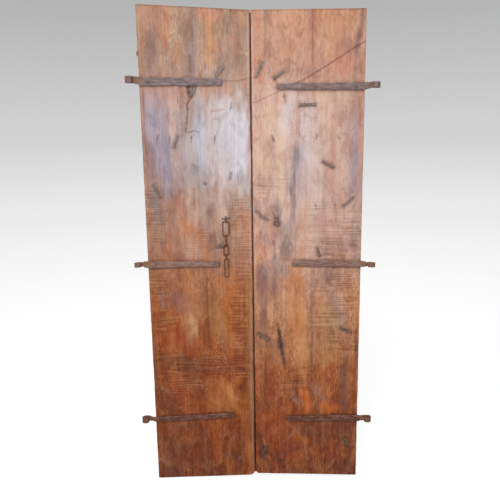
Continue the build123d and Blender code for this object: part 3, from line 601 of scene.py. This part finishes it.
def teak_board(name, board, material):
    """A whole board: its seen and hidden faces, bridged along the edges."""
    seen = board_face(board, seen_pitch, True)
    hidden = board_face(board, hidden_pitch, False)
    only(seen)
    hidden.select_set(True)
    bpy.ops.object.join()
    bpy.ops.object.mode_set(mode="EDIT")
    bpy.ops.mesh.select_mode(type="EDGE")
    bpy.ops.mesh.select_all(action="DESELECT")
    bpy.ops.mesh.select_non_manifold(
        use_wire=False, use_boundary=True, use_multi_face=False, use_non_contiguous=False, use_verts=False)
    bpy.ops.mesh.bridge_edge_loops()
    bpy.ops.object.mode_set(mode="OBJECT")
    bpy.ops.object.shade_smooth()
    seen.name = seen.data.name = name
    paint(seen, board["side"])
    seen.data.materials.append(material)
    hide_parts(board["node"])
    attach(seen, f"{board['side']}_leaf")


def paint(piece, side):
    """Stores a board's staining and painted sheen, dark hollows, saw marks, and dirt with painted shadow
    round the iron on its vertices, for its material.
    """
    x, y, z = vertex_places(piece).T
    on_face = (y < (face_y + hidden_y) / 2).astype(float)
    stray_x = stray(x, z, stray_cells_across, 31)
    stray_z = stray(x, z, stray_cells_up, 33)
    tint = np.zeros((len(x), 3))
    amount = np.zeros(len(x))
    for name, brush, strength, path in stains_and_sheen[side]:
        reach = brushes[brush]
        brush_x = x + brush_stray_share * reach[0] * stray_x
        brush_z = z + brush_stray_share * reach[1] * stray_z
        near = nearness(brush_x, brush_z, side, path, reach)
        cover = strength * near * near * (3 - 2 * near) * on_face
        under = amount * (1 - cover)
        amount = cover + under
        share = (cover / np.maximum(amount, hair))[:, None]
        tint = tint * (1 - share) + np.array(linear(*tints[name])[:3]) * share
    stain_and_sheen = piece.data.attributes.new("stain_and_sheen", "FLOAT_COLOR", "POINT")
    stain_and_sheen.data.foreach_set("color", np.column_stack((tint, amount)).astype(np.float32).ravel())

    ragged = 0.75 + 0.25 * waver(x, z, *dark_cells, 21)
    dark = np.zeros(len(x))
    for width, _, darkness, path in hollows[side]:
        dark = np.maximum(dark, darkness * nearness(x, z, side, path, (1.3 * width, 1.3 * width)) ** 0.6)
    keep_mask(piece, "dark", dark * ragged * on_face)
    sawn = np.zeros(len(x))
    saw_x = x + saw_mark_stray * stray_x
    saw_z = z + saw_mark_stray * stray_z
    for strength, path in saw_marks[side]:
        sawn = np.maximum(sawn, strength * nearness(saw_x, saw_z, side, path, saw_mark_reach))
    keep_mask(piece, "sawn", np.clip(2 * sawn, 0, 1) * on_face)
    # Grime with painted shadow, strongest just under the iron
    keep_mask(piece, "grime_and_shadow", grime_and_shadow_near_iron(piece, side) * (0.7 + 0.3 * stray_x))


def grime_and_shadow_near_iron(piece, side):
    """Grime and painted shadow round a leaf's iron: 1 close under it, where the painted shadow falls, less
    above it, and 0 at its reach.
    """
    places = vertex_places(piece)
    grime_and_shadow = np.zeros(len(places))
    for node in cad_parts:
        if not (node.startswith(side) and node.endswith(iron_with_grime_and_shadow)):
            continue
        low, high = (np.array(corner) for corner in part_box(node))
        near = ((places > low - grime_and_shadow_reach) & (places < high + grime_and_shadow_reach)).all(axis=1)
        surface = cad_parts[node].data
        corners = [vertex.co for vertex in surface.vertices]
        tree = BVHTree.FromPolygons(corners, [face.vertices for face in surface.polygons])
        for i in np.flatnonzero(near):
            found = tree.find_nearest(places[i], grime_and_shadow_reach)
            if found[0]:
                share = 1.0 if found[0].z > places[i][2] else grime_and_shadow_share_above
                grime_and_shadow[i] = max(grime_and_shadow[i], share * (1 - found[3] / grime_and_shadow_reach))
    return grime_and_shadow


def keep_mask(piece, name, values):
    """Stores a mask on a mesh's vertices, for its material."""
    layer = piece.data.attributes.new(name, "FLOAT", "POINT")
    layer.data.foreach_set("value", np.clip(values, 0, 1).astype(np.float32))


def left_board():
    """The left leaf's plank."""
    lo_x, hi_x = outer_edge["left"], meeting_edge["left"]
    meeting_low, meeting_high = edge_heights("left_plank", hi_x)
    return {
        "node": "left_plank", "side": "left", "lo_x": lo_x, "hi_x": hi_x, "flare": left_top_flare,
        "foot": ((lo_x, hi_x), (left_low.z, meeting_low - worn_corner["left"])),
        "head": ((lo_x, hi_x), (left_high.z, meeting_high)),
        "worn": worn_corner["left"], "scarf_head": False, "scarf_foot": False,
    }


def right_boards():
    """The right leaf's plank, and the piece scarfed onto its top."""
    lo_x, hi_x = meeting_edge["right"], outer_edge["right"]
    outer_low, outer_scarf = edge_heights("right_plank", hi_x)
    meeting_low, meeting_scarf = edge_heights("right_plank", lo_x)
    knee_x, knee_z = spot("right", *scarf_knee_share)
    scarf = ((lo_x, knee_x, hi_x), (meeting_scarf, knee_z, outer_scarf))
    plank = {
        "node": "right_plank", "side": "right", "lo_x": lo_x, "hi_x": hi_x, "flare": 0,
        "foot": ((lo_x, hi_x), (meeting_low - worn_corner["right"], outer_low)),
        "head": scarf, "worn": worn_corner["right"], "scarf_head": True, "scarf_foot": False,
    }
    top_piece = {
        "node": "right_top_piece", "side": "right", "lo_x": lo_x, "hi_x": hi_x, "flare": 0,
        "foot": scarf, "head": ((lo_x, hi_x), (leaf_height, leaf_height)),
        "worn": 0, "scarf_head": False, "scarf_foot": True,
    }
    return plank, top_piece


def linear(red, green, blue):
    """A colour in linear light, from its sRGB levels of 0 to 255."""
    levels = [level / 255 for level in (red, green, blue)]
    return (*[v / 12.92 if v <= 0.04045 else ((v + 0.055) / 1.055) ** 2.4 for v in levels], 1)


def fill(tree, socket, value):
    """Links a socket to another, or sets its value."""
    if isinstance(value, bpy.types.NodeSocket):
        tree.links.new(value, socket)
    else:
        socket.default_value = value


def add_node(tree, kind, settings=None, **inputs):
    """Adds a node, sets it, and fills its inputs by name, with _ for a space."""
    node = tree.nodes.new(kind)
    for key, value in (settings or {}).items():
        setattr(node, key, value)
    for key, value in inputs.items():
        fill(tree, node.inputs[key.replace("_", " ")], value)
    return node


def object_place(tree):
    """The three coordinates of a point on the object."""
    coordinates = add_node(tree, "ShaderNodeTexCoord").outputs["Object"]
    return add_node(tree, "ShaderNodeSeparateXYZ", Vector=coordinates).outputs


def noise(tree, scale, detail=4.0, roughness=0.55, distortion=0.0, place=(0, 0, 0)):
    """Noise in cells of 1 m, divided by the scale on each axis."""
    coordinates = add_node(tree, "ShaderNodeTexCoord").outputs["Object"]
    vector = add_node(tree, "ShaderNodeMapping", Vector=coordinates, Scale=scale, Location=place).outputs[0]
    return add_node(tree, "ShaderNodeTexNoise", Vector=vector, Scale=1.0, Detail=detail,
                    Roughness=roughness, Distortion=distortion).outputs[0]


def remap(tree, value, low, high, to_low=0.0, to_high=1.0):
    """A value moved from one range to another, and kept inside it."""
    return add_node(tree, "ShaderNodeMapRange", Value=value, From_Min=low, From_Max=high,
                    To_Min=to_low, To_Max=to_high).outputs[0]


def calculate(tree, operation, a, b):
    """One sum on two values."""
    node = add_node(tree, "ShaderNodeMath", {"operation": operation})
    fill(tree, node.inputs[0], a)
    fill(tree, node.inputs[1], b)
    return node.outputs[0]


def blend(tree, factor, a, b, how="MIX"):
    """Two colours mixed."""
    node = add_node(tree, "ShaderNodeMix", {"data_type": "RGBA", "blend_type": how})
    fill(tree, node.inputs[0], factor)
    fill(tree, node.inputs[6], a)
    fill(tree, node.inputs[7], b)
    return node.outputs[2]


def lay(tree, colour, pattern, span, strength, tone, how="MIX"):
    """A tone laid over the colour, from none to its strength as a pattern goes over a span."""
    return blend(tree, remap(tree, pattern, *span, 0, strength), colour, linear(*tone), how)


def ramp(tree, value, stops):
    """A colour ramp from (position, colour) stops."""
    node = add_node(tree, "ShaderNodeValToRGB", Fac=value)
    elements = node.color_ramp.elements
    while len(elements) < len(stops):
        elements.new(1.0)
    for element, (position, colour) in zip(elements, stops):
        element.position = position
        element.color = colour
    return node.outputs[0]


def mask(tree, name):
    """A mask that is stored on a mesh."""
    return add_node(tree, "ShaderNodeAttribute", {"attribute_name": name}).outputs["Fac"]


def new_material(name):
    """An empty node material with its Principled shader."""
    material = bpy.data.materials.new(name)
    material.use_nodes = True
    return material, material.node_tree, material.node_tree.nodes["Principled BSDF"]


def arches(tree, colour, side, shift):
    """Arched figure over the colour, where the saw cut through the growth rings at a slant."""
    middle, half_width, half_height, count, strength = arched_figures[side]
    middle_x, middle_z = spot(side, *middle)
    place = object_place(tree)
    across = calculate(tree, "DIVIDE", calculate(tree, "SUBTRACT", place["X"], middle_x), half_width)
    up = calculate(tree, "DIVIDE", calculate(tree, "SUBTRACT", place["Z"], middle_z), half_height)
    bend = calculate(tree, "MULTIPLY", across, across)
    wander = remap(tree, noise(tree, (40, 40, 16), 3.0, 0.6, 0.0, shift), 0.3, 0.7, -0.25, 0.25)
    ring = calculate(tree, "ADD", calculate(tree, "ADD", up, bend), wander)
    wave = calculate(tree, "SINE", calculate(tree, "MULTIPLY", ring, pi * count), 0)
    reach = calculate(tree, "ADD", bend, calculate(tree, "MULTIPLY", up, up))
    inside = remap(tree, reach, 1.4, 0.3)
    dark = calculate(tree, "MULTIPLY", inside, remap(tree, wave, 0.0, 1.0, 0, strength))
    pale = calculate(tree, "MULTIPLY", inside, remap(tree, wave, 0.0, -1.0, 0, 0.2 * strength))
    colour = blend(tree, dark, colour, linear(150, 110, 92), "MULTIPLY")
    return blend(tree, pale, colour, linear(250, 206, 160), "SCREEN")


def teak(side, tones, shift):
    """Old waxed teak: bands and streaks along the grain, saw marks across it, staining and wear, a painted
    sheen, and dirt with painted shadow round the iron.
    """
    material, tree, shader = new_material(f"{side}_teak")
    up = calculate(tree, "DIVIDE", object_place(tree)["Z"], leaf_height)
    drift = noise(tree, (6, 6, 3), 3.0, place=shift)
    up = calculate(tree, "ADD", up, remap(tree, drift, 0.3, 0.7, -0.05, 0.05))
    # Tones up the leaf, paler higher up, partly a painted sheen
    colour = ramp(tree, up, [(share, linear(*tone)) for share, tone in tones])

    # Broad bands and patches
    bands = noise(tree, (11, 11, 1.4), 3.0, 0.5, 0.8, shift)
    colour = lay(tree, colour, bands, (0.50, 0.70), 0.35, (170, 134, 120), "MULTIPLY")
    warm = noise(tree, (13, 13, 6), 3.0, 0.5, 1.0, (shift[1], 0, shift[0]))
    colour = lay(tree, colour, warm, (0.50, 0.68), 0.40, (192, 112, 50))
    colour = lay(tree, colour, warm, (0.48, 0.32), 0.40, (190, 164, 154), "MULTIPLY")

    # Flecks and scratches, fewer towards the top, where the painted sheen lies over them
    fewer_higher_up = remap(tree, up, 0.35, 0.60, 1.0, 0.5)
    flecks = noise(tree, (120, 120, 70), 3.0, 0.55, 0.4, shift)
    flecked = calculate(tree, "MULTIPLY", fewer_higher_up, remap(tree, flecks, 0.46, 0.66, 0, 0.44))
    colour = blend(tree, flecked, colour, linear(170, 132, 112), "MULTIPLY")
    scratches = noise(tree, (230, 230, 45), 4.0, 0.65, 0.2, shift)
    scored = calculate(tree, "MULTIPLY", fewer_higher_up, remap(tree, scratches, 0.50, 0.66, 0, 0.52))
    colour = blend(tree, scored, colour, linear(150, 112, 92), "MULTIPLY")
    rubbed = calculate(tree, "MULTIPLY", fewer_higher_up, remap(tree, scratches, 0.44, 0.30, 0, 0.20))
    colour = blend(tree, rubbed, colour, linear(250, 200, 150), "SCREEN")

    # Staining, wear and painted sheen, which follow the fibres
    fibres = noise(tree, (170, 170, 7), 4.0, 0.6, 0.3, shift)
    stain_and_sheen = add_node(tree, "ShaderNodeAttribute", {"attribute_name": "stain_and_sheen"})
    cover = calculate(tree, "MULTIPLY", stain_and_sheen.outputs["Alpha"], remap(tree, fibres, 0.32, 0.68, 0.90, 1.05))
    colour = blend(tree, cover, colour, stain_and_sheen.outputs["Color"])

    # Mottling, streaks and pores
    mottle = noise(tree, (24, 24, 14), 5.0, 0.60, 0.8, shift)
    colour = lay(tree, colour, mottle, (0.48, 0.70), 0.42, (178, 138, 122), "MULTIPLY")
    colour = lay(tree, colour, mottle, (0.50, 0.30), 0.08, (250, 206, 160), "SCREEN")
    streaks = noise(tree, (150, 150, 2.6), 4.0, 0.62, 0.3, shift)
    colour = lay(tree, colour, streaks, (0.46, 0.66), 0.17, (166, 126, 110), "MULTIPLY")
    colour = lay(tree, colour, streaks, (0.48, 0.34), 0.04, (250, 214, 180), "SCREEN")
    pores = noise(tree, (600, 600, 22), 3.0, 0.7, 0.0, shift)
    colour = lay(tree, colour, pores, (0.50, 0.72), 0.22, (140, 98, 78), "MULTIPLY")

    # Arched figure and saw marks
    colour = arches(tree, colour, side, shift)
    kerfs = noise(tree, (8, 8, 230), 2.0, 0.6, 0.0, shift)
    sawn = calculate(tree, "MULTIPLY", mask(tree, "sawn"), remap(tree, kerfs, 0.44, 0.62))
    cut = calculate(tree, "MULTIPLY", sawn, remap(tree, up, 0.30, 0.50, 0.48, 0.30))
    colour = blend(tree, cut, colour, linear(140, 104, 92), "MULTIPLY")
    ridges = calculate(tree, "MULTIPLY", mask(tree, "sawn"), remap(tree, kerfs, 0.50, 0.34, 0, 0.08))
    colour = blend(tree, ridges, colour, linear(250, 210, 166), "SCREEN")

    # Grime and painted shadow round the iron, darkest just under it, and dark hollows
    grime_and_shadow = calculate(tree, "MULTIPLY", mask(tree, "grime_and_shadow"), 0.75)
    colour = blend(tree, grime_and_shadow, colour, linear(140, 118, 114), "MULTIPLY")
    # A near-black painted shadow line where the iron meets the wood, strongest just under it
    colour = lay(tree, colour, mask(tree, "grime_and_shadow"), (0.55, 0.95), 0.60, tints["soot_and_shadow"])
    dark = mask(tree, "dark")
    colour = blend(tree, dark, colour, linear(*tints["soot_and_shadow"]))
    tree.links.new(colour, shader.inputs["Base Color"])
    dull = calculate(tree, "MULTIPLY", dark, 0.3)
    roughness = calculate(tree, "ADD", remap(tree, fibres, 0.3, 0.7, 0.36, 0.48), dull)
    tree.links.new(roughness, shader.inputs["Roughness"])
    shader.inputs["Specular IOR Level"].default_value = specular_level
    relief = calculate(tree, "MULTIPLY", sawn, -0.5)
    relief = calculate(tree, "ADD", relief, calculate(tree, "MULTIPLY", streaks, -0.2))
    relief = calculate(tree, "ADD", relief, calculate(tree, "MULTIPLY", pores, -0.35))
    bump = add_node(tree, "ShaderNodeBump", Strength=0.4, Distance=0.001, Height=relief)
    tree.links.new(bump.outputs[0], shader.inputs["Normal"])
    return material


def iron(name, tones, rust, worn):
    """Hand-forged iron: dark scale with streaks along it, brown rust in patches, and rusty ends."""
    material, tree, shader = new_material(name)
    place = object_place(tree)
    up = calculate(tree, "DIVIDE", place["Z"], leaf_height)
    # Tones change with height, greyer and paler higher up, partly a painted sheen
    colour = ramp(tree, up, [(share, linear(*tone)) for share, tone in tones])
    scale = noise(tree, (30, 70, 100), 4.0, 0.55, 0.3)
    colour = lay(tree, colour, scale, (0.46, 0.66), 0.45, (150, 130, 126), "MULTIPLY")
    colour = lay(tree, colour, scale, (0.50, 0.34), 0.30, worn)
    patches = noise(tree, (22, 40, 50), 4.0, 0.55, 0.6)
    past_edge = remap(tree, calculate(tree, "ABSOLUTE", place["X"], 0), outer_edge["right"] - 0.02,
                      outer_edge["right"] + 0.02, -0.08, 0.10)
    patches = calculate(tree, "ADD", patches, past_edge)
    colour = lay(tree, colour, patches, (0.46, 0.62), 0.75, rust)
    pits = noise(tree, (420, 420, 420), 3.0, 0.6)
    colour = lay(tree, colour, pits, (0.54, 0.75), 0.4, (90, 72, 66), "MULTIPLY")
    tree.links.new(colour, shader.inputs["Base Color"])
    shader.inputs["Specular IOR Level"].default_value = specular_level
    tree.links.new(remap(tree, scale, 0.3, 0.7, 0.45, 0.7), shader.inputs["Roughness"])
    relief = calculate(tree, "ADD", calculate(tree, "MULTIPLY", pits, -0.4), scale)
    bump = add_node(tree, "ShaderNodeBump", Strength=0.5, Distance=0.0008, Height=relief)
    tree.links.new(bump.outputs[0], shader.inputs["Normal"])
    return material


def worked(node, finish, material, body):
    """A remeshed copy of a solid that looks hand-worked: softer edges and uneven faces."""
    voxel, unevenness, lump, smoothing = finish
    piece = bpy.data.objects.new(f"worked_{node}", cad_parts[node].data.copy())
    bpy.context.scene.collection.objects.link(piece)
    only(piece)
    bpy.ops.object.mode_set(mode="EDIT")
    bpy.ops.mesh.select_all(action="SELECT")
    bpy.ops.mesh.remove_doubles(threshold=hair / 10)
    bpy.ops.object.mode_set(mode="OBJECT")
    remesh = piece.modifiers.new("remesh", "REMESH")
    remesh.mode = "VOXEL"
    remesh.voxel_size = voxel
    remesh.use_smooth_shade = True
    soften = piece.modifiers.new("soften", "SMOOTH")
    soften.factor = 0.5
    soften.iterations = smoothing
    hammer = bpy.data.textures.new(f"hammer_{node}", "CLOUDS")
    hammer.noise_scale = lump
    hammer.noise_depth = 2
    dents = piece.modifiers.new("dents", "DISPLACE")
    dents.texture = hammer
    dents.texture_coords = "LOCAL"
    dents.mid_level = 0.62
    dents.strength = unevenness
    for modifier in ("remesh", "soften", "dents"):
        bpy.ops.object.modifier_apply(modifier=modifier)
    piece.data.materials.clear()
    piece.data.materials.append(material)
    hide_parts(node)
    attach(piece, body)
    return piece


# Planks
# Tones from the foot up: deep red-brown low down, paler higher up, partly the wood's own colour and partly
# a painted sheen
left_tones = (
    (0.00, (114, 48, 12)), (0.15, (134, 59, 10)), (0.25, (148, 68, 11)), (0.40, (165, 92, 41)),
    (0.55, (172, 128, 102)), (0.75, (158, 130, 120)), (1.00, (168, 134, 110)),
)
right_tones = (
    (0.00, (118, 47, 12)), (0.15, (143, 69, 27)), (0.25, (164, 94, 51)), (0.40, (200, 146, 110)),
    (0.55, (204, 164, 148)), (0.75, (200, 164, 150)), (1.00, (198, 150, 122)),
)
left_teak = teak("left", left_tones, (0.0, 3.1, 7.7))
right_teak = teak("right", right_tones, (5.3, 1.7, 2.9))
teak_board("left_teak_plank", left_board(), left_teak)
right_plank_board, right_top_board = right_boards()
teak_board("right_teak_plank", right_plank_board, right_teak)
teak_board("right_teak_top_piece", right_top_board, right_teak)
strip = worked("cover_strip", strip_finish, left_teak, "left_leaf")
paint(strip, "left")

# Ironwork
# Tones from the foot up: browner low down, greyer and paler higher up, partly a painted sheen like that on
# the upper wood
strap_tones = ((0.0, (96, 54, 36)), (0.2, (98, 58, 40)), (0.5, (134, 104, 92)), (0.9, (120, 104, 104)))
strap_iron = iron("strap_iron", strap_tones, (122, 86, 64), (156, 132, 128))
nail_tones = ((0.0, (80, 56, 46)), (0.35, (114, 86, 72)), (0.6, (118, 100, 90)), (0.9, (128, 112, 102)))
nail_iron = iron("old_nail_iron", nail_tones, (110, 84, 68), (150, 132, 120))
latch_tones = ((0.0, (104, 64, 44)), (0.9, (110, 73, 54)))
latch_iron = iron("chain_iron", latch_tones, (116, 70, 46), (164, 128, 104))

for side in ("left", "right"):
    body = f"{side}_leaf"
    for level in ("top", "middle", "bottom"):
        worked(f"{side}_{level}_hinge", strap_finish, strap_iron, body)
        worked(f"{side}_{level}_hinge_nails", nail_finish, strap_iron, body)
    worked(f"{side}_clenched_nails", clench_finish, nail_iron, body)
    worked(f"{side}_straight_nails", nail_finish, nail_iron, body)
worked("left_edge_nail", nail_finish, nail_iron, "left_leaf")
worked("cover_strip_nails", nail_finish, nail_iron, "left_leaf")
latch_bodies = {
    "chain_staple": "left_leaf", "chain_link_1": "first_link", "chain_link_2": "second_link",
    "chain_link_3": "third_link", "chain_hasp": "end_loop",
}
for node, body in latch_bodies.items():
    worked(node, chain_finish, latch_iron, body)
worked("right_eye_staple", chain_finish, nail_iron, "right_leaf")

# Camera
bpy.ops.object.camera_add(location=camera_place)
camera = bpy.context.object
camera.data.sensor_width = camera_sensor
camera.data.lens = camera_lens
camera.data.clip_end = camera_reach
camera.matrix_world = (
    Matrix.Translation(camera_place)
    @ Matrix.Rotation(camera_yaw, 4, "Z")
    @ Matrix.Rotation(radians(90) - camera_pitch, 4, "X")
    @ Matrix.Rotation(camera_roll, 4, "Z")
)
bpy.context.scene.camera = camera


def seen_directly(tree):
    """1 for rays from the camera, mirrored or through glass, and 0 for soft light on the object."""
    rays = add_node(tree, "ShaderNodeLightPath").outputs
    clear = calculate(tree, "MAXIMUM", rays["Is Glossy Ray"], rays["Is Transmission Ray"])
    return calculate(tree, "MAXIMUM", rays["Is Camera Ray"], clear)


def grey(level):
    """A grey in linear light, from its sRGB level."""
    return linear(level, level, level)


# Floor: white near the door, fading to the grey of the backdrop
floor_radius = 40
white_radius = 2.2
lit_floor = (0.3, 0.3, 0.3, 1)
glowing_floor = (0.82, 0.82, 0.82, 1)
black = (0, 0, 0, 1)
bpy.ops.object.select_all(action="DESELECT")
bpy.ops.mesh.primitive_circle_add(vertices=96, radius=floor_radius, fill_type="NGON")
floor = bpy.context.object
floor.name = "studio_floor"
floor_material, floor_tree, floor_shader = new_material("white_floor")
floor_place = add_node(floor_tree, "ShaderNodeTexCoord").outputs["Object"]
distance = add_node(floor_tree, "ShaderNodeVectorMath", {"operation": "LENGTH"}, Vector=floor_place)
from_door = distance.outputs["Value"]
lit_share = remap(floor_tree, from_door, 0.6 * white_radius, 2 * white_radius, 1.0, 0.0)
floor_shade = ramp(floor_tree, remap(floor_tree, from_door, 0, floor_radius), [
    (0.0, grey(255)), (white_radius / floor_radius, grey(255)), (0.20, grey(236)),
    (0.45, grey(222)), (1.0, grey(212)),
])
fill(floor_tree, floor_shader.inputs["Base Color"],
     blend(floor_tree, lit_share, black, lit_floor))
floor_shader.inputs["Roughness"].default_value = 1.0
floor_shader.inputs["Specular IOR Level"].default_value = 0.0
fill(floor_tree, floor_shader.inputs["Emission Color"],
     blend(floor_tree, lit_share, floor_shade, glowing_floor))
fill(floor_tree, floor_shader.inputs["Emission Strength"], seen_directly(floor_tree))
floor.data.materials.append(floor_material)

# Backdrop
studio_light = (0.5, 0.5, 0.5, 1)
world = bpy.data.worlds.new("studio")
bpy.context.scene.world = world
world.use_nodes = True
world_tree = world.node_tree
background = world_tree.nodes["Background"]
direction = add_node(world_tree, "ShaderNodeTexCoord").outputs["Generated"]
rise = add_node(world_tree, "ShaderNodeSeparateXYZ", Vector=direction).outputs["Z"]
backdrop = ramp(world_tree, remap(world_tree, rise, -0.05, 0.20),
                [(0.0, grey(212)), (0.2, grey(208)), (0.82, grey(182)), (1.0, grey(177))])
lit = blend(world_tree, seen_directly(world_tree), studio_light, backdrop)
world_tree.links.new(lit, background.inputs["Color"])


def softbox(name, place, size, power, pitch, turn):
    """A square soft light that looks down from the level by its pitch, and turned about the vertical."""
    bpy.ops.object.light_add(type="AREA", location=place)
    light = bpy.context.object
    light.name = name
    light.data.size = size
    light.data.energy = power
    light.rotation_euler = (radians(90 - pitch), 0, radians(turn))


# Lights: place, size, power, and degrees of pitch and turn
softboxes = {
    "softbox_beside_camera": ((-0.24, -2.9, 1.52), 0.7, 40, 2, -4),
    "overhead_softbox": ((-1.0, -3.0, 4.3), 1.6, 100, 46, -18),
}
for name, settings in softboxes.items():
    softbox(name, *settings)

bpy.context.scene.view_settings.view_transform = "Standard"
